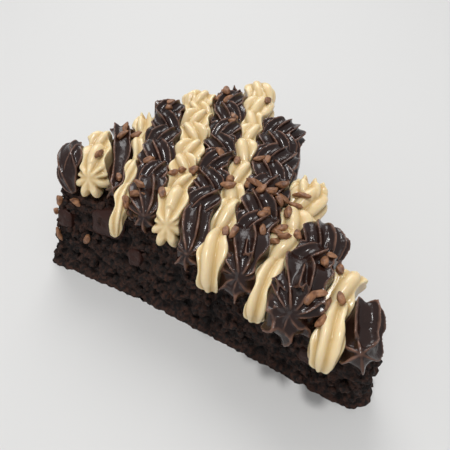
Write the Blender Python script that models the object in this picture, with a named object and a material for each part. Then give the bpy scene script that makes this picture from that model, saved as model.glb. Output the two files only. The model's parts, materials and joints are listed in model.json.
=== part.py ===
"""A slice of brownie topped with piped rows of chocolate and cream icing.

The frame: metres, +Z up, the origin on the flat underside, the slice's tip towards -Y and its
wide outer edge towards +Y. Sizes below are in millimetres.
"""

import math

import bmesh
import bpy
import numpy as np
from mathutils import Vector, noise
from mathutils.bvhtree import BVHTree

MM = 0.001

# The slice: a sector of a round brownie, sloping down to its tip, wider at its foot.
TIP_Y = -64.0
ROUND_CENTRE_Y = -121.0
ROUND_RADIUS = 184.0
TIP_HALF_WIDTH = 3.5
SIDE_SPREAD = 0.35
CORNER_FLARE = 6.5
FLARE_START_Y = 18.0
FLARE_LENGTH = 38.0
TOP_AT_TIP = 25.0
TOP_AT_BACK = 37.0
SIDE_BATTER = 0.35
END_BATTER = 0.12
CORNER_BLEND = 2.2
TOP_EDGE_BLEND = 1.3
CRUMB_DEPTH = 1.7
CRUMB_SIZE = 4.2
WALL_STEPS = 92
WALL_RINGS = 7
MIDDLE = np.array([0.0, 18.0])

# The icing: every row stays in its own lane and a hair clear of the slice.
CLEARANCE = 0.42
LANE_GAP = 0.20
LANE_SOFTNESS = 0.8
FLOOR_SOFTNESS = 1.2
LANE_WAVE = 0.9
LANE_WAVE_LENGTH = 13.0
LANE_BULGE = 0.5
LANE_BULGE_REACH = 7.0
CRESTS = 6
FLUTE_DEPTH = 0.34
BEAD = 1.15
LEAF_WIDTH = 1.35
DEEPEST_FLUTE = 0.5
STAR_SIDES = 60
STROKE_STEP = 1.2
VOXEL = 0.55
PLUMPEST = 8.6
TRIANGLES_PER_MM = 9.1

# Each row: kind, start (x, y), end (x, y), half widths (head, body, end), bow to the right, style.
ROWS = (
    ("chocolate", (-44.5, 51.0), (-36.5, 62.0), (5.4, 5.2, 5.2), 0.0, "curl"),
    ("cream", (-38.0, 46.5), (-24.5, 62.0), (7.6, 4.4, 5.0), 0.0, "shells"),
    ("chocolate", (-33.5, 37.5), (-17.0, 63.5), (4.4, 4.6, 4.6), 1.2, "straight"),
    ("cream", (-39.0, 26.7), (-4.5, 63.0), (2.8, 2.1, 5.6), 0.0, "hanging"),
    ("chocolate", (-30.0, 20.0), (7.0, 63.5), (6.0, 6.3, 6.4), 0.0, "leaves"),
    ("cream", (-25.5, 12.5), (21.5, 63.0), (8.2, 5.4, 6.2), 1.4, "shells"),
    ("chocolate", (-25.4, 1.1), (36.0, 59.8), (6.6, 6.4, 6.0), 3.0, "zigzag"),
    ("cream", (-22.5, -10.0), (46.0, 52.0), (6.8, 4.3, 5.6), 0.6, "hanging"),
    ("chocolate", (-17.2, -17.4), (40.2, 31.0), (10.2, 8.6, 6.6), 1.6, "leaves"),
    ("cream", (-16.9, -27.5), (28.5, -1.5), (5.6, 4.8, 7.4), 0.8, "hanging"),
    ("chocolate", (-12.0, -36.0), (14.5, -22.3), (12.2, 8.0, 6.6), 0.0, "leaves"),
    ("cream", (-10.4, -51.0), (9.5, -39.0), (5.2, 4.3, 4.8), 0.0, "hanging"),
    ("chocolate", (-3.2, -57.2), (7.6, -48.2), (6.6, 5.4, 5.2), 0.0, "straight"),
)
# How far a row's star lies to the right of its head's middle, and how much higher, where it isn't 0.
STAR_SHIFTS = {6: (0.5, -3.0), 8: (0.4, 0.0), 10: (1.5, 0.6)}
HEAD_REACH = 8.0
END_REACH = 12.0

# Chocolate chunks set in the sides: side, place along it, height, (length, height, depth).
CHUNKS = (
    ("left", 33.5, 28.0, (15.0, 12.5, 6.0)),
    ("left", 50.0, 24.0, (7.0, 8.0, 5.0)),
    ("left", 20.5, 18.5, (6.5, 7.5, 5.0)),
    ("left", -47.0, 15.5, (7.5, 7.0, 5.0)),
    ("right", 22.0, 19.0, (12.0, 9.0, 6.0)),
    ("right", -20.0, 14.0, (8.0, 7.5, 5.0)),
    ("back", -14.0, 17.0, (9.0, 8.0, 5.0)),
)
CHUNK_GAP = 0.35

# Chopped nibs: the middle of each scatter (x, y), how far it spreads, how many.
SCATTERS = (
    ((-16, 57), 6.0, 6), ((2, 59), 3.0, 2), ((-32, 27), 3.5, 4), ((-21, 21), 5.0, 4),
    ((-14, 26), 3.5, 3), ((28, 54), 4.0, 5), ((23, 39), 4.5, 3), ((5, 26), 2.0, 1),
    ((12, 21), 2.0, 1), ((-3, 11), 5.0, 4), ((6, 8), 4.0, 3), ((18, 13), 3.0, 2),
    ((8, -6), 6.0, 12), ((15, -6), 3.0, 3), ((-2, -12), 5.0, 5), ((1, -17), 4.0, 3),
    ((-13, -7), 3.0, 3), ((6, -33), 4.5, 3), ((-7, -42), 4.0, 6), ((41, 43), 1.5, 1),
    ((-32, 49), 2.0, 1), ((-31, 40), 2.0, 1), ((-19, 38), 2.0, 1), ((-7, 25), 2.0, 1),
    ((1, -44), 2.0, 1),
)
NIB_LENGTH = (3.8, 6.4)
NIB_WIDTH = (2.1, 3.1)
NIB_SINK = 0.25
NIB_GAP = 0.25


def clear_scene():
    for old in list(bpy.data.objects):
        bpy.data.objects.remove(old, do_unlink=True)


# ---------------------------------------------------------------- the slice's envelope


def smooth_max(values, blend):
    values = np.stack(values)
    peak = values.max(axis=0)
    return peak + blend * np.log(np.exp((values - peak) / blend).sum(axis=0))


def top_height(y):
    return TOP_AT_TIP + (TOP_AT_BACK - TOP_AT_TIP) * (y - TIP_Y) / (2 * -TIP_Y)


def envelope(points):
    """How far each point lies outside the smooth hull of the slice, in mm."""
    x, y, z = points.T
    drop = np.maximum(top_height(y) - z, 0.0)
    side_cos = 1 / math.hypot(1, SIDE_SPREAD)
    half = TIP_HALF_WIDTH + SIDE_SPREAD * (y - TIP_Y)
    widening = np.clip((y - TIP_Y) / 90.0, 0.0, 1.0)
    batter = END_BATTER + (SIDE_BATTER - END_BATTER) * widening
    flare = CORNER_FLARE * np.clip((y - FLARE_START_Y) / FLARE_LENGTH, 0.0, 1.2) ** 1.5
    left = (-x - half - flare) * side_cos - batter * drop
    right = (x - half) * side_cos - batter * drop
    tip = TIP_Y - y - END_BATTER * drop
    back = np.hypot(x, y - ROUND_CENTRE_Y) - ROUND_RADIUS - END_BATTER * drop
    wall = smooth_max([left, right, tip, back], CORNER_BLEND)
    return smooth_max([wall, z - top_height(y)], TOP_EDGE_BLEND)


def envelope_slope(points):
    step = 0.05
    slope = np.empty_like(points)
    for axis in range(3):
        shift = np.zeros(3)
        shift[axis] = step
        slope[:, axis] = (envelope(points + shift) - envelope(points - shift)) / (2 * step)
    return slope


def softened(distance, gap, softness):
    """Distances under gap + softness are eased so that none falls under the gap."""
    near = gap + softness * np.exp(np.minimum(distance - gap - softness, 0.0) / softness)
    return np.where(distance < gap + softness, near, distance)


def lay_on_slice(points, gap):
    for _ in range(3):
        outside = envelope(points)
        slope = envelope_slope(points)
        size = np.maximum((slope**2).sum(axis=1, keepdims=True), 0.05)
        target = np.maximum(softened(outside, gap, FLOOR_SOFTNESS), outside)
        points = points + slope / size * (target - outside)[:, None]
    return points


# ---------------------------------------------------------------- the rows' lanes


def row_axes(row):
    start, end = np.array(row[1]), np.array(row[2])
    length = float(np.linalg.norm(end - start))
    along = (end - start) / length
    return start, along, np.array([along[1], -along[0]]), length


def row_width(row, share):
    """A row's half width at a share of its length: wider or narrower at its head and end."""
    head, body, end = row[3]
    length = row_axes(row)[3]
    near = np.exp(-((share * length / HEAD_REACH) ** 2))
    far = np.exp(-(((1 - share) * length / END_REACH) ** 2))
    return body + (head - body) * near + (end - body) * far


def bulge_past(run, one_end, two_end):
    """Where only one of two neighbours still runs on, its edge swells into the other's lane."""
    past = np.clip(run - min(one_end, two_end), 0.0, LANE_BULGE_REACH)
    return LANE_BULGE * past * (1.0 if one_end > two_end else -1.0)


def edge_offset(index, xy):
    """Signed distance to the right of the edge between rows index and index + 1, and its normal."""
    one, two = ROWS[index], ROWS[index + 1]
    starts, ends = np.array([one[1], two[1]]), np.array([one[2], two[2]])
    low, high = starts.mean(axis=0), ends.mean(axis=0)
    length = np.linalg.norm(high - low)
    along = (high - low) / length
    normal = np.array([along[1], -along[0]])
    run = (xy - low) @ along
    share = np.clip(run / length, 0.0, 1.0)
    pitch = (starts[1] - starts[0]) @ normal * (1 - share) + (ends[1] - ends[0]) @ normal * share
    width = row_width(one, share)
    place = (width / (width + row_width(two, share)) - 0.5) * pitch
    bow = 2 * (one[4] + two[4]) * share * (1 - share)
    wave = LANE_WAVE * np.sin(2 * math.pi * run / LANE_WAVE_LENGTH + 1.9 * index)
    bulge = bulge_past(run, *((ends - low) @ along))
    return (xy - low) @ normal - place - bow - wave - bulge, normal


def keep_in_lane(points, index, gap):
    xy = points[:, :2].copy()
    if index < len(ROWS) - 1:
        offset, normal = edge_offset(index, xy)
        xy -= normal * (softened(-offset, gap, LANE_SOFTNESS) + offset)[:, None]
    if index > 0:
        offset, normal = edge_offset(index - 1, xy)
        xy += normal * (softened(offset, gap, LANE_SOFTNESS) - offset)[:, None]
    return np.column_stack([xy, points[:, 2]])


# ---------------------------------------------------------------- strokes of the piping bag


def smooth_path(way, count):
    """A Catmull-Rom curve through the waypoints, read at equal steps."""
    way = np.array(way, float)
    ends = np.vstack([2 * way[0] - way[1], way, 2 * way[-1] - way[-2]])
    spans = len(way) - 1
    out = []
    for place in np.linspace(0, spans, count):
        span = min(int(place), spans - 1)
        t = place - span
        a, b, c, d = ends[span : span + 4]
        out.append(
            0.5 * (2 * b + (c - a) * t + (2 * a - 5 * b + 4 * c - d) * t**2 + (3 * b - a - 3 * c + d) * t**3)
        )
    return np.array(out)


def flute(angle, crests, radius, petals):
    """The nozzle's teeth, 0 on a crest and 1 between two: thin beads, or soft petals with creases."""
    if petals:
        return 1 - np.sqrt(np.cos(crests * angle / 2) ** 2 + 0.01)
    wave = np.sin(crests * angle / 2) ** 2
    bead = min((crests * max(BEAD, 0.12 * radius) / (4 * radius)) ** 2, 1.0)
    return wave * (1 + bead) / (wave + bead)


def stroke(row, way, crests=CRESTS, depth=FLUTE_DEPTH, turn=(0.0, 0.0), peak=0.0, petals=False, wide=1.0):
    """A fluted tube in a row. Each waypoint is (along, across, above the slice, radius, sag).

    It starts at a point, where its crests meet, and ends in one, past which the crests reach
    by peak. It is wider than it is high by the factor wide.
    """
    start, along, across, length = row_axes(row)
    way = np.array(way, float)
    run = np.linalg.norm(np.diff(way[:, :3], axis=0), axis=1).sum()
    count = max(6, int(run / STROKE_STEP) + 1)
    path = smooth_path(way, count)
    share = np.clip(path[:, 0] / length, 0, 1)
    side = path[:, 1] + 4 * row[4] * share * (1 - share)
    centre = np.empty((count, 3))
    centre[:, :2] = start + path[:, :1] * along + side[:, None] * across
    centre[:, 2] = top_height(centre[:, 1]) + path[:, 2]
    tangent = np.gradient(centre, axis=0)
    tangent /= np.linalg.norm(tangent, axis=1, keepdims=True)
    level = np.cross(tangent, (0, 0, 1.0))
    level /= np.linalg.norm(level, axis=1, keepdims=True)
    upward = np.cross(level, tangent)

    angle = np.linspace(0, 2 * math.pi, STAR_SIDES, endpoint=False)
    twist = np.linspace(turn[0], turn[1], count)
    widest = path[:, 3].max()
    torn = 5.2 / STROKE_STEP
    points, faces = [centre[0]], []
    for ring in range(count):
        radius, sag = max(path[ring, 3], 0.05), path[ring, 4]
        turned = angle + twist[ring] + math.pi / 2
        down = np.clip(-np.sin(turned), 0, 1) ** 1.5
        cut = min(depth * math.sqrt(widest / radius), DEEPEST_FLUTE)
        reach = radius * (1 - cut * flute(angle, crests, radius, petals)) * (1 + sag * down)
        ring_points = (
            centre[ring]
            + (wide * reach * np.cos(turned))[:, None] * level[ring]
            + (reach * np.sin(turned))[:, None] * upward[ring]
        )
        if peak and ring >= count - torn:
            late = (ring - count + torn + 1) / torn
            tips = (0.5 + 0.5 * np.cos(crests * angle)) * np.clip(0.25 + np.sin(turned), 0, 1)
            ring_points += (peak * late**1.5 * (tips - 0.25))[:, None] * (tangent[ring] + 0.4 * upward[ring])
        points.extend(ring_points)
    points.append(centre[-1] - tangent[-1] * (0.6 * peak))
    for side_index in range(STAR_SIDES):
        other = (side_index + 1) % STAR_SIDES
        for base in range(1, 1 + (count - 1) * STAR_SIDES, STAR_SIDES):
            a, b = base + side_index, base + other
            faces.append((a, b, b + STAR_SIDES, a + STAR_SIDES))
        faces.append((0, 1 + other, 1 + side_index))
        first_of_last = 1 + (count - 1) * STAR_SIDES
        faces.append((len(points) - 1, first_of_last + side_index, first_of_last + other))
    return np.array(points), faces


def flower(radius, sag=0.3, aside=0.0, lift=0.0):
    """The first blob over the slice's edge, whose crests meet in a star that faces outwards."""
    out = 0.3 * max(radius - 7.0, 0.0)
    lift += out
    return [
        (-3.8 - out, aside, 8.4 + lift, 0.1, sag),
        (-3.1 - out, 0.85 * aside, 7.3 + lift, 0.48 * radius, sag),
        (-1.8 - out, 0.4 * aside, 5.4 + lift, 0.84 * radius, sag),
        (1.4, 0, 3.8 + lift, 1.02 * radius, 0.7 * sag),
        (5.4, 0, 4.2 + lift, 0.96 * radius, 0.2 * sag),
    ]


def leaf(begin, radius, length, across=0.0, swing=0.0, lift=0.0):
    """One overlapping fold: a pointed tail, low in the row, that swells to a round head over the next."""
    return [
        (begin, across - swing, 3.4, 0.1, 0),
        (begin + 0.12 * length, across - swing, 4.0, 0.50 * radius, 0),
        (begin + 0.40 * length, across - 0.4 * swing, 4.9 + 0.6 * lift, 0.86 * radius, 0),
        (begin + 0.72 * length, across + 0.6 * swing, 6.0 + lift, 1.02 * radius, 0),
        (begin + 0.93 * length, across + swing, 6.6 + lift, 0.80 * radius, 0),
        (begin + 1.02 * length, across + swing, 6.4 + lift, 0.1, 0),
    ]


def first_leaf(radius, length, aside=0.0, lift=0.0):
    """The fold that grows out of the head's star and lies over it."""
    out = 0.3 * max(radius - 6.6, 0.0)
    lift += out
    return [
        (-3.8 - out, aside, 8.4 + lift, 0.1, 0),
        (-2.4 - out, 0.9 * aside, 7.9 + lift, 0.38 * radius, 0),
        (0.30 * length - 2.5, 0.5 * aside, 6.5 + 0.8 * lift, 0.78 * radius, 0),
        (0.65 * length - 1.0, 0.4, 6.2 + 0.3 * lift, 0.98 * radius, 0),
        (0.90 * length, 0.6, 6.3, 0.78 * radius, 0),
        (1.00 * length, 0.6, 6.0, 0.1, 0),
    ]


def core(length, radius):
    """The body of icing that runs below a row's folds."""
    return [
        (0.5, 0, 2.6, 0.1, 0),
        (2.0, 0, 2.8, 0.70 * radius, 0),
        (length * 0.5, 0, 3.0, 0.80 * radius, 0),
        (length - 5.0, 0, 3.0, 0.62 * radius, 0),
        (length - 1.5, 0, 2.8, 0.1, 0),
    ]


def last_peak(length, radius, across=0.0):
    """The lifted end, where the crests are torn off in points."""
    return [
        (length - 11, across, 4.2, 0.1, 0),
        (length - 9.5, across, 4.4, 0.75 * radius, 0),
        (length - 5.5, across, 4.6, 0.92 * radius, 0),
        (length - 1.8, across, 5.6, 0.84 * radius, 0),
        (length - 0.2, across, 6.9, 0.62 * radius, 0),
    ]


def plump(half_width):
    """A stroke's radius: enough that neighbouring rows press against each other."""
    return min(1.12 * half_width + 0.7, PLUMPEST)


def straight_strokes(row, head_radius, radius, length):
    way = flower(head_radius) + [
        (length * 0.55, 0, 4.9, radius, 0),
        (length - 5.0, 0, 5.4, radius * 1.0, 0),
        (length - 1.5, 0, 6.0, radius * 0.95, 0),
        (length + 0.3, 0, 6.6, radius * 0.80, 0),
    ]
    return [stroke(row, way, turn=(0.25, 0.45), depth=0.36, peak=1.4, wide=1.15)]


def curl_strokes(row, head_radius, radius, length):
    blob = [
        (-4.5, 0.5, 0.6, 0.1, 0),
        (-3.2, 0.3, 1.6, 0.60 * head_radius, 0),
        (0.5, 0, 3.4, 1.05 * head_radius, 0),
        (length * 0.40, -0.6, 6.0, radius, 0),
        (length * 0.75, -0.6, 7.6, radius * 0.85, 0),
        (length, 0.2, 8.2, radius * 0.5, 0),
        (length + 1.4, 0.6, 7.6, 0.1, 0),
    ]
    lip = leaf(-1.5, radius * 0.85, 12.0, 0.8, 3.6, 2.2)
    return [stroke(row, blob, 6, 0.26, (0.0, 1.5)), stroke(row, lip, 6, 0.28, (0.2, 2.0), peak=1.5)]


def row_strokes(index):
    row = ROWS[index]
    head_radius, radius, end_radius = row[3][0], plump(row[3][1]), plump(row[3][2])
    style = row[5]
    length = row_axes(row)[3]
    rng = np.random.default_rng(40 + index)
    if style == "straight":
        return straight_strokes(row, head_radius, radius, length)
    if style == "curl":
        return curl_strokes(row, head_radius, radius, length)

    strokes = [stroke(row, core(length, radius), depth=0.1, wide=1.8)]
    if style == "hanging":
        tip_radius = plump(head_radius)
        head = [
            (-4.6, 0, -2.4, 0.1, 0),
            (-4.3, 0, -1.4, 0.42 * tip_radius, 0),
            (-3.4, 0, 0.7, 0.74 * tip_radius, 0),
            (-1.8, 0, 2.6, 0.94 * tip_radius, 0),
            (1.5, 0, 3.8, 1.04 * tip_radius, 0),
            (6.0, 0, 4.6, tip_radius, 0),
            (13.0, 0.4, 4.4, 0.85 * radius, 0),
            (16.0, 0.4, 3.6, 0.1, 0),
        ]
        strokes.append(stroke(row, head, 8, 0.3, (0.0, 0.5), petals=True))
        pitch, overlap, swing, turn, crests, depth = 10.5, 1.8, 0.9, 0.45, 7, 0.27
    elif style == "shells":
        head = flower(head_radius, 0.15) + [(10.5, 0, 3.8, 0.6 * radius, 0), (12.5, 0, 3.4, 0.1, 0)]
        strokes.append(stroke(row, head, 7, 0.5, petals=True))
        grown = first_leaf(0.92 * head_radius, 12.5)
        strokes.append(stroke(row, grown, 8, 0.34, petals=True, wide=LEAF_WIDTH))
        pitch, overlap, swing, turn, crests, depth = 8.5, 1.6, 1.0, 0.5, 9, 0.36
    else:
        shift = STAR_SHIFTS.get(index, (0.0, 0.0))
        head = flower(head_radius, 0.12, *shift) + [(11.0, 0, 4.0, 0.7 * radius, 0), (13.5, 0, 3.4, 0.1, 0)]
        strokes.append(stroke(row, head, 7, 0.28, (0.0, 1.3)))
        grown = first_leaf(0.94 * max(head_radius, radius), 15.0, *shift)
        strokes.append(stroke(row, grown, 10, 0.25, (0.0, 0.8), wide=LEAF_WIDTH))
        if style == "zigzag":
            pitch, overlap, swing, turn, crests, depth = 9.5, 1.7, 1.7, 0.7, 12, 0.25
        else:
            pitch, overlap, swing, turn, crests, depth = 9.0, 1.75, 1.1, 0.6, 12, 0.25
    place, side = 6.5, 1.0
    while place < length - 12:
        size = radius * rng.uniform(0.9, 1.08)
        way = leaf(place, size, pitch * overlap, 0.0, side * swing, rng.uniform(-0.5, 0.9))
        twist = side * turn * rng.uniform(0.6, 1.3)
        strokes.append(
            stroke(row, way, crests, depth, (twist, -twist), petals=row[0] == "cream", wide=LEAF_WIDTH)
        )
        place += pitch * rng.uniform(0.8, 1.2)
        side = -side
    peak = 3.4 if row[0] == "chocolate" else 3.2
    strokes.append(stroke(row, last_peak(length, end_radius), 8, 0.32, (0.1, 0.5), peak, row[0] == "cream"))
    return strokes


# ---------------------------------------------------------------- meshes and objects


def mesh_from(name, points, faces):
    mesh = bpy.data.meshes.new(name)
    mesh.from_pydata([tuple(p * MM) for p in points], [], faces)
    mesh.update()
    return mesh


def add_object(name, mesh, material):
    obj = bpy.data.objects.new(name, mesh)
    bpy.context.scene.collection.objects.link(obj)
    mesh.materials.clear()
    mesh.materials.append(material)
    return obj


def settled(obj):
    """Swaps an object's mesh for what its modifiers make of it."""
    graph = bpy.context.evaluated_depsgraph_get()
    result = bpy.data.meshes.new_from_object(obj.evaluated_get(graph))
    obj.modifiers.clear()
    obj.data = result
    return obj


def biggest_body(mesh):
    """Keeps the outer skin alone: drops scraps, folded slivers and sealed hollows."""
    work = bmesh.new()
    work.from_mesh(mesh)
    left, bodies = set(work.faces), []
    while left:
        seed = left.pop()
        body, edge = {seed}, [seed]
        while edge:
            face = edge.pop()
            links = [link for link in face.edges if len(link.link_faces) == 2]
            for near in {near for link in links for near in link.link_faces} & left:
                left.discard(near)
                body.add(near)
                edge.append(near)
        bodies.append(body)
    bodies.sort(key=len)
    scraps = [face for body in bodies[:-1] for face in body]
    bmesh.ops.delete(work, geom=scraps, context="FACES")
    loose = [vert for vert in work.verts if not vert.link_faces]
    bmesh.ops.delete(work, geom=loose, context="VERTS")
    work.to_mesh(mesh)
    work.free()


def make_material(name, colour, roughness):
    material = bpy.data.materials.new(name)
    material.use_nodes = True
    shader = material.node_tree.nodes["Principled BSDF"]
    shader.inputs["Base Color"].default_value = (*colour, 1.0)
    shader.inputs["Roughness"].default_value = roughness
    shader.inputs["Metallic"].default_value = 0.0
    return material


def settle_icing(points, index):
    """Keeps a row's points in its lane and clear of the slice."""
    points = keep_in_lane(points, index, LANE_GAP)
    points = lay_on_slice(points, CLEARANCE)
    return keep_in_lane(points, index, LANE_GAP)


def settle_mesh(mesh, index):
    points = np.empty(len(mesh.vertices) * 3)
    mesh.vertices.foreach_get("co", points)
    points = settle_icing(points.reshape(-1, 3) / MM, index) * MM
    mesh.vertices.foreach_set("co", points.ravel())
    mesh.update()


def fuse(obj):
    """Melts overlapping strokes into one skin."""
    remesh = obj.modifiers.new("fuse", "REMESH")
    remesh.mode = "VOXEL"
    remesh.voxel_size = VOXEL * MM
    settled(obj)
    biggest_body(obj.data)


def make_row(index, name, material):
    points, faces = [], []
    for part_points, part_faces in row_strokes(index):
        base = len(points)
        points.extend(settle_icing(part_points, index))
        faces.extend(tuple(base + corner for corner in face) for face in part_faces)
    obj = add_object(name, mesh_from(name, points, faces), material)
    fuse(obj)
    settle_mesh(obj.data, index)
    fuse(obj)
    length = row_axes(ROWS[index])[3] + 8
    target = TRIANGLES_PER_MM * length
    reduce = obj.modifiers.new("reduce", "DECIMATE")
    reduce.ratio = target / (2 * len(obj.data.polygons))
    reduce.use_collapse_triangulate = True
    settled(obj)
    return obj


def wall_ring(directions, share):
    """Where the hull stands in each direction from its middle, at a share of its own height."""
    low, high = np.zeros(len(directions)), np.full(len(directions), 140.0)
    for _ in range(40):
        middle = (low + high) / 2
        xy = MIDDLE + directions * middle[:, None]
        spots = np.column_stack([xy, share * (top_height(xy[:, 1]) - 1.2)])
        inside = envelope(spots) < 0
        low, high = np.where(inside, middle, low), np.where(inside, high, middle)
    return spots


def crumbled(spots, outward, amount):
    """Dents points by a rough noise, as the baked crumb tears."""
    for spot, way in zip(spots, outward):
        rough = noise.noise(Vector(spot / CRUMB_SIZE)) + 0.6 * noise.noise(Vector(spot / (CRUMB_SIZE * 0.45)))
        spot -= way * CRUMB_DEPTH * amount * min(max(0.5 + rough, 0.0), 1.3)


def make_slice(material):
    angles = np.linspace(0, 2 * math.pi, 4000, endpoint=False)
    directions = np.column_stack([np.sin(angles), -np.cos(angles)])
    foot = wall_ring(directions, 0.0)
    run = np.cumsum(np.linalg.norm(np.diff(foot, axis=0, append=foot[:1]), axis=1))
    directions = directions[np.searchsorted(run, np.linspace(0, run[-1], WALL_STEPS, endpoint=False))]
    rings = []
    for share in np.linspace(0, 1, WALL_RINGS):
        ring = wall_ring(directions, share)
        outward = envelope_slope(ring)
        outward[:, 2] = 0
        outward /= np.linalg.norm(outward, axis=1, keepdims=True)
        crumbled(ring, outward, 0.5 if share == 1 else 1.0)
        rings.append(ring)
    summit = np.array([*MIDDLE, top_height(MIDDLE[1])])
    for share, drop in ((0.955, 0.25), (0.62, 0.1), (0.3, 0.1)):
        ring = summit + (rings[WALL_RINGS - 1] - summit) * share
        ring[:, 2] = top_height(ring[:, 1]) - drop
        rings.append(ring)
    points = [tuple(spot) for ring in rings for spot in ring]
    points += [(*MIDDLE, 0.0), (*MIDDLE, summit[2] - 0.1)]
    foot_middle, top_middle = len(points) - 2, len(points) - 1
    top_start = (len(rings) - 1) * WALL_STEPS
    faces = []
    for step in range(WALL_STEPS):
        other = (step + 1) % WALL_STEPS
        for base in range(0, top_start, WALL_STEPS):
            faces.append((base + step, base + other, base + WALL_STEPS + other, base + WALL_STEPS + step))
        faces.append((foot_middle, other, step))
        faces.append((top_middle, top_start + step, top_start + other))
    return add_object("brownie", mesh_from("brownie", np.array(points), faces), material)


# ---------------------------------------------------------------- chunks and nibs


def wall_frame(side, place, height):
    """The spot where a side of the slice stands at a height, and its directions."""
    outward = {"left": (-1.0, 0.0), "right": (1.0, 0.0), "back": (0.0, 1.0)}[side]
    middle = (place, 0.0) if side == "back" else (0.0, place)
    reach = np.linspace(0, 90, 3601)
    line = np.column_stack([np.outer(reach, outward) + middle, np.full(len(reach), height)])
    spot = line[np.argmax(envelope(line) > 0)]
    normal = envelope_slope(spot[None])[0]
    normal /= np.linalg.norm(normal)
    level = np.cross((0, 0, 1.0), normal)
    level /= np.linalg.norm(level)
    return spot, level, normal, np.cross(normal, level)


def chunk_mesh(name, chunk, seed, grow):
    """A broken block of chocolate with rounded corners."""
    side, place, height, (length, tall, depth) = chunk
    spot, level, normal, upward = wall_frame(side, place, height)
    work = bmesh.new()
    bmesh.ops.create_icosphere(work, subdivisions=2, radius=1.0)
    half = np.array([length, tall, depth]) / 2
    for vert in work.verts:
        way = np.array(vert.co)
        block = way / (np.abs(way) ** 4).sum() ** 0.25
        size = half * (1 + 0.2 * noise.noise(Vector(way * 1.3 + seed * 3.7))) + grow
        local = block * size
        local[1] += 0.15 * local[0]
        spot_now = spot + normal * (min(local[2], half[2] * 1.02 + grow) - 1.05 * half[2])
        vert.co = (spot_now + level * local[0] + upward * local[1]) * MM
    mesh = bpy.data.meshes.new(name)
    work.to_mesh(mesh)
    work.free()
    return mesh


def set_chunks(slice_obj, material):
    for number, chunk in enumerate(CHUNKS, 1):
        pocket = add_object(f"pocket_{number}", chunk_mesh("pocket", chunk, number, CHUNK_GAP), material)
        cut = slice_obj.modifiers.new("pocket", "BOOLEAN")
        cut.operation = "DIFFERENCE"
        cut.object = pocket
        settled(slice_obj)
        bpy.data.objects.remove(pocket, do_unlink=True)
        name = f"chocolate_chunk_{number}"
        add_object(name, chunk_mesh(name, chunk, number, 0.0), material)


def nib_specs():
    rng = np.random.default_rng(12)
    for middle, spread, count in SCATTERS:
        for _ in range(count):
            spot = np.array(middle) + rng.normal(0, spread / 2, 2)
            length, width, height = rng.uniform(*NIB_LENGTH), rng.uniform(*NIB_WIDTH), rng.uniform(*NIB_WIDTH)
            size = np.array([length, width, 0.85 * height])
            yield spot, size, rng.uniform(0, math.pi), int(rng.integers(1000))


def nib_mesh(spot, normal, size, heading, seed, grow):
    """A lumpy chip of twenty faces that lies along the surface."""
    work = bmesh.new()
    bmesh.ops.create_icosphere(work, subdivisions=1, radius=1.0)
    along = Vector((math.cos(heading), math.sin(heading), 0))
    along = (along - normal * along.dot(normal)).normalized()
    across = normal.cross(along)
    for vert in work.verts:
        lump = 1 + 0.28 * noise.noise(vert.co * 1.7 + Vector((seed, 0, 0)))
        local = [vert.co[axis] * (size[axis] / 2 * lump + grow) * MM for axis in range(3)]
        vert.co = spot + along * local[0] + across * local[1] + normal * local[2]
    mesh = bpy.data.meshes.new("nib")
    work.to_mesh(mesh)
    work.free()
    return mesh


def bvh_of(mesh):
    places = [vert.co.copy() for vert in mesh.vertices]
    return BVHTree.FromPolygons(places, [tuple(face.vertices) for face in mesh.polygons])


def landing(spot, trees):
    """The row that a nib dropped at spot lands on, with the place and the surface's normal."""
    hits = []
    for index, tree in enumerate(trees):
        place, normal, _, _ = tree.ray_cast(Vector((spot[0] * MM, spot[1] * MM, 90 * MM)), Vector((0, 0, -1)))
        if place is not None:
            hits.append((place.z, index, place, normal))
    return max(hits, key=lambda hit: hit[0])[1:] if hits else None


def scatter_nibs(rows, material):
    """Sets each nib on the row under it, clear of the other rows, and fuses it to that row."""
    trees = [bvh_of(row.data) for row in rows]
    placed = [[] for _ in rows]
    for spot, size, heading, seed in sorted(nib_specs(), key=lambda spec: -spec[1][0]):
        for _ in range(6):
            found = landing(spot, trees)
            if not found:
                break
            index, place, normal = found
            normal = (normal + Vector((0, 0, 0.8))).normalized()
            centre = place + normal * size[2] * (0.5 - NIB_SINK) * MM
            fat_tree = bvh_of(nib_mesh(centre, normal, size, heading, seed, NIB_GAP))
            others = [tree for other, tree in enumerate(trees) if other != index]
            others += [near for other, group in enumerate(placed) if other != index for near, _ in group]
            if not any(fat_tree.overlap(tree) for tree in others):
                placed[index].append((fat_tree, nib_mesh(centre, normal, size, heading, seed, 0.0)))
                break
            start, _, across, _ = row_axes(ROWS[index])
            spot = spot - 0.3 * across * float((spot - start) @ across)
    for row, group in zip(rows, placed):
        if not group:
            continue
        nibs = bpy.data.collections.new("nibs")
        bpy.context.scene.collection.children.link(nibs)
        for _, mesh in group:
            mesh.materials.append(material)
            nibs.objects.link(bpy.data.objects.new("nib", mesh))
        union = row.modifiers.new("nibs", "BOOLEAN")
        union.operation = "UNION"
        union.operand_type = "COLLECTION"
        union.collection = nibs
        settled(row)
        biggest_body(row.data)
        for nib in list(nibs.objects):
            bpy.data.objects.remove(nib, do_unlink=True)
        bpy.data.collections.remove(nibs)


def main():
    clear_scene()
    crumb = make_material("brownie_crumb", (0.030, 0.014, 0.009), 0.85)
    chocolate = make_material("chocolate_icing", (0.035, 0.016, 0.012), 0.30)
    cream = make_material("cream_icing", (0.78, 0.66, 0.36), 0.35)
    chunk = make_material("solid_chocolate", (0.045, 0.016, 0.012), 0.42)
    nib = make_material("chopped_nib", (0.20, 0.085, 0.045), 0.60)
    set_chunks(make_slice(crumb), chunk)
    counts = {"chocolate": 0, "cream": 0}
    rows = []
    for index, row in enumerate(ROWS):
        kind = row[0]
        counts[kind] += 1
        icing = chocolate if kind == "chocolate" else cream
        rows.append(make_row(index, f"{kind}_row_{counts[kind]}", icing))
    scatter_nibs(rows, nib)


main()
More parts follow.
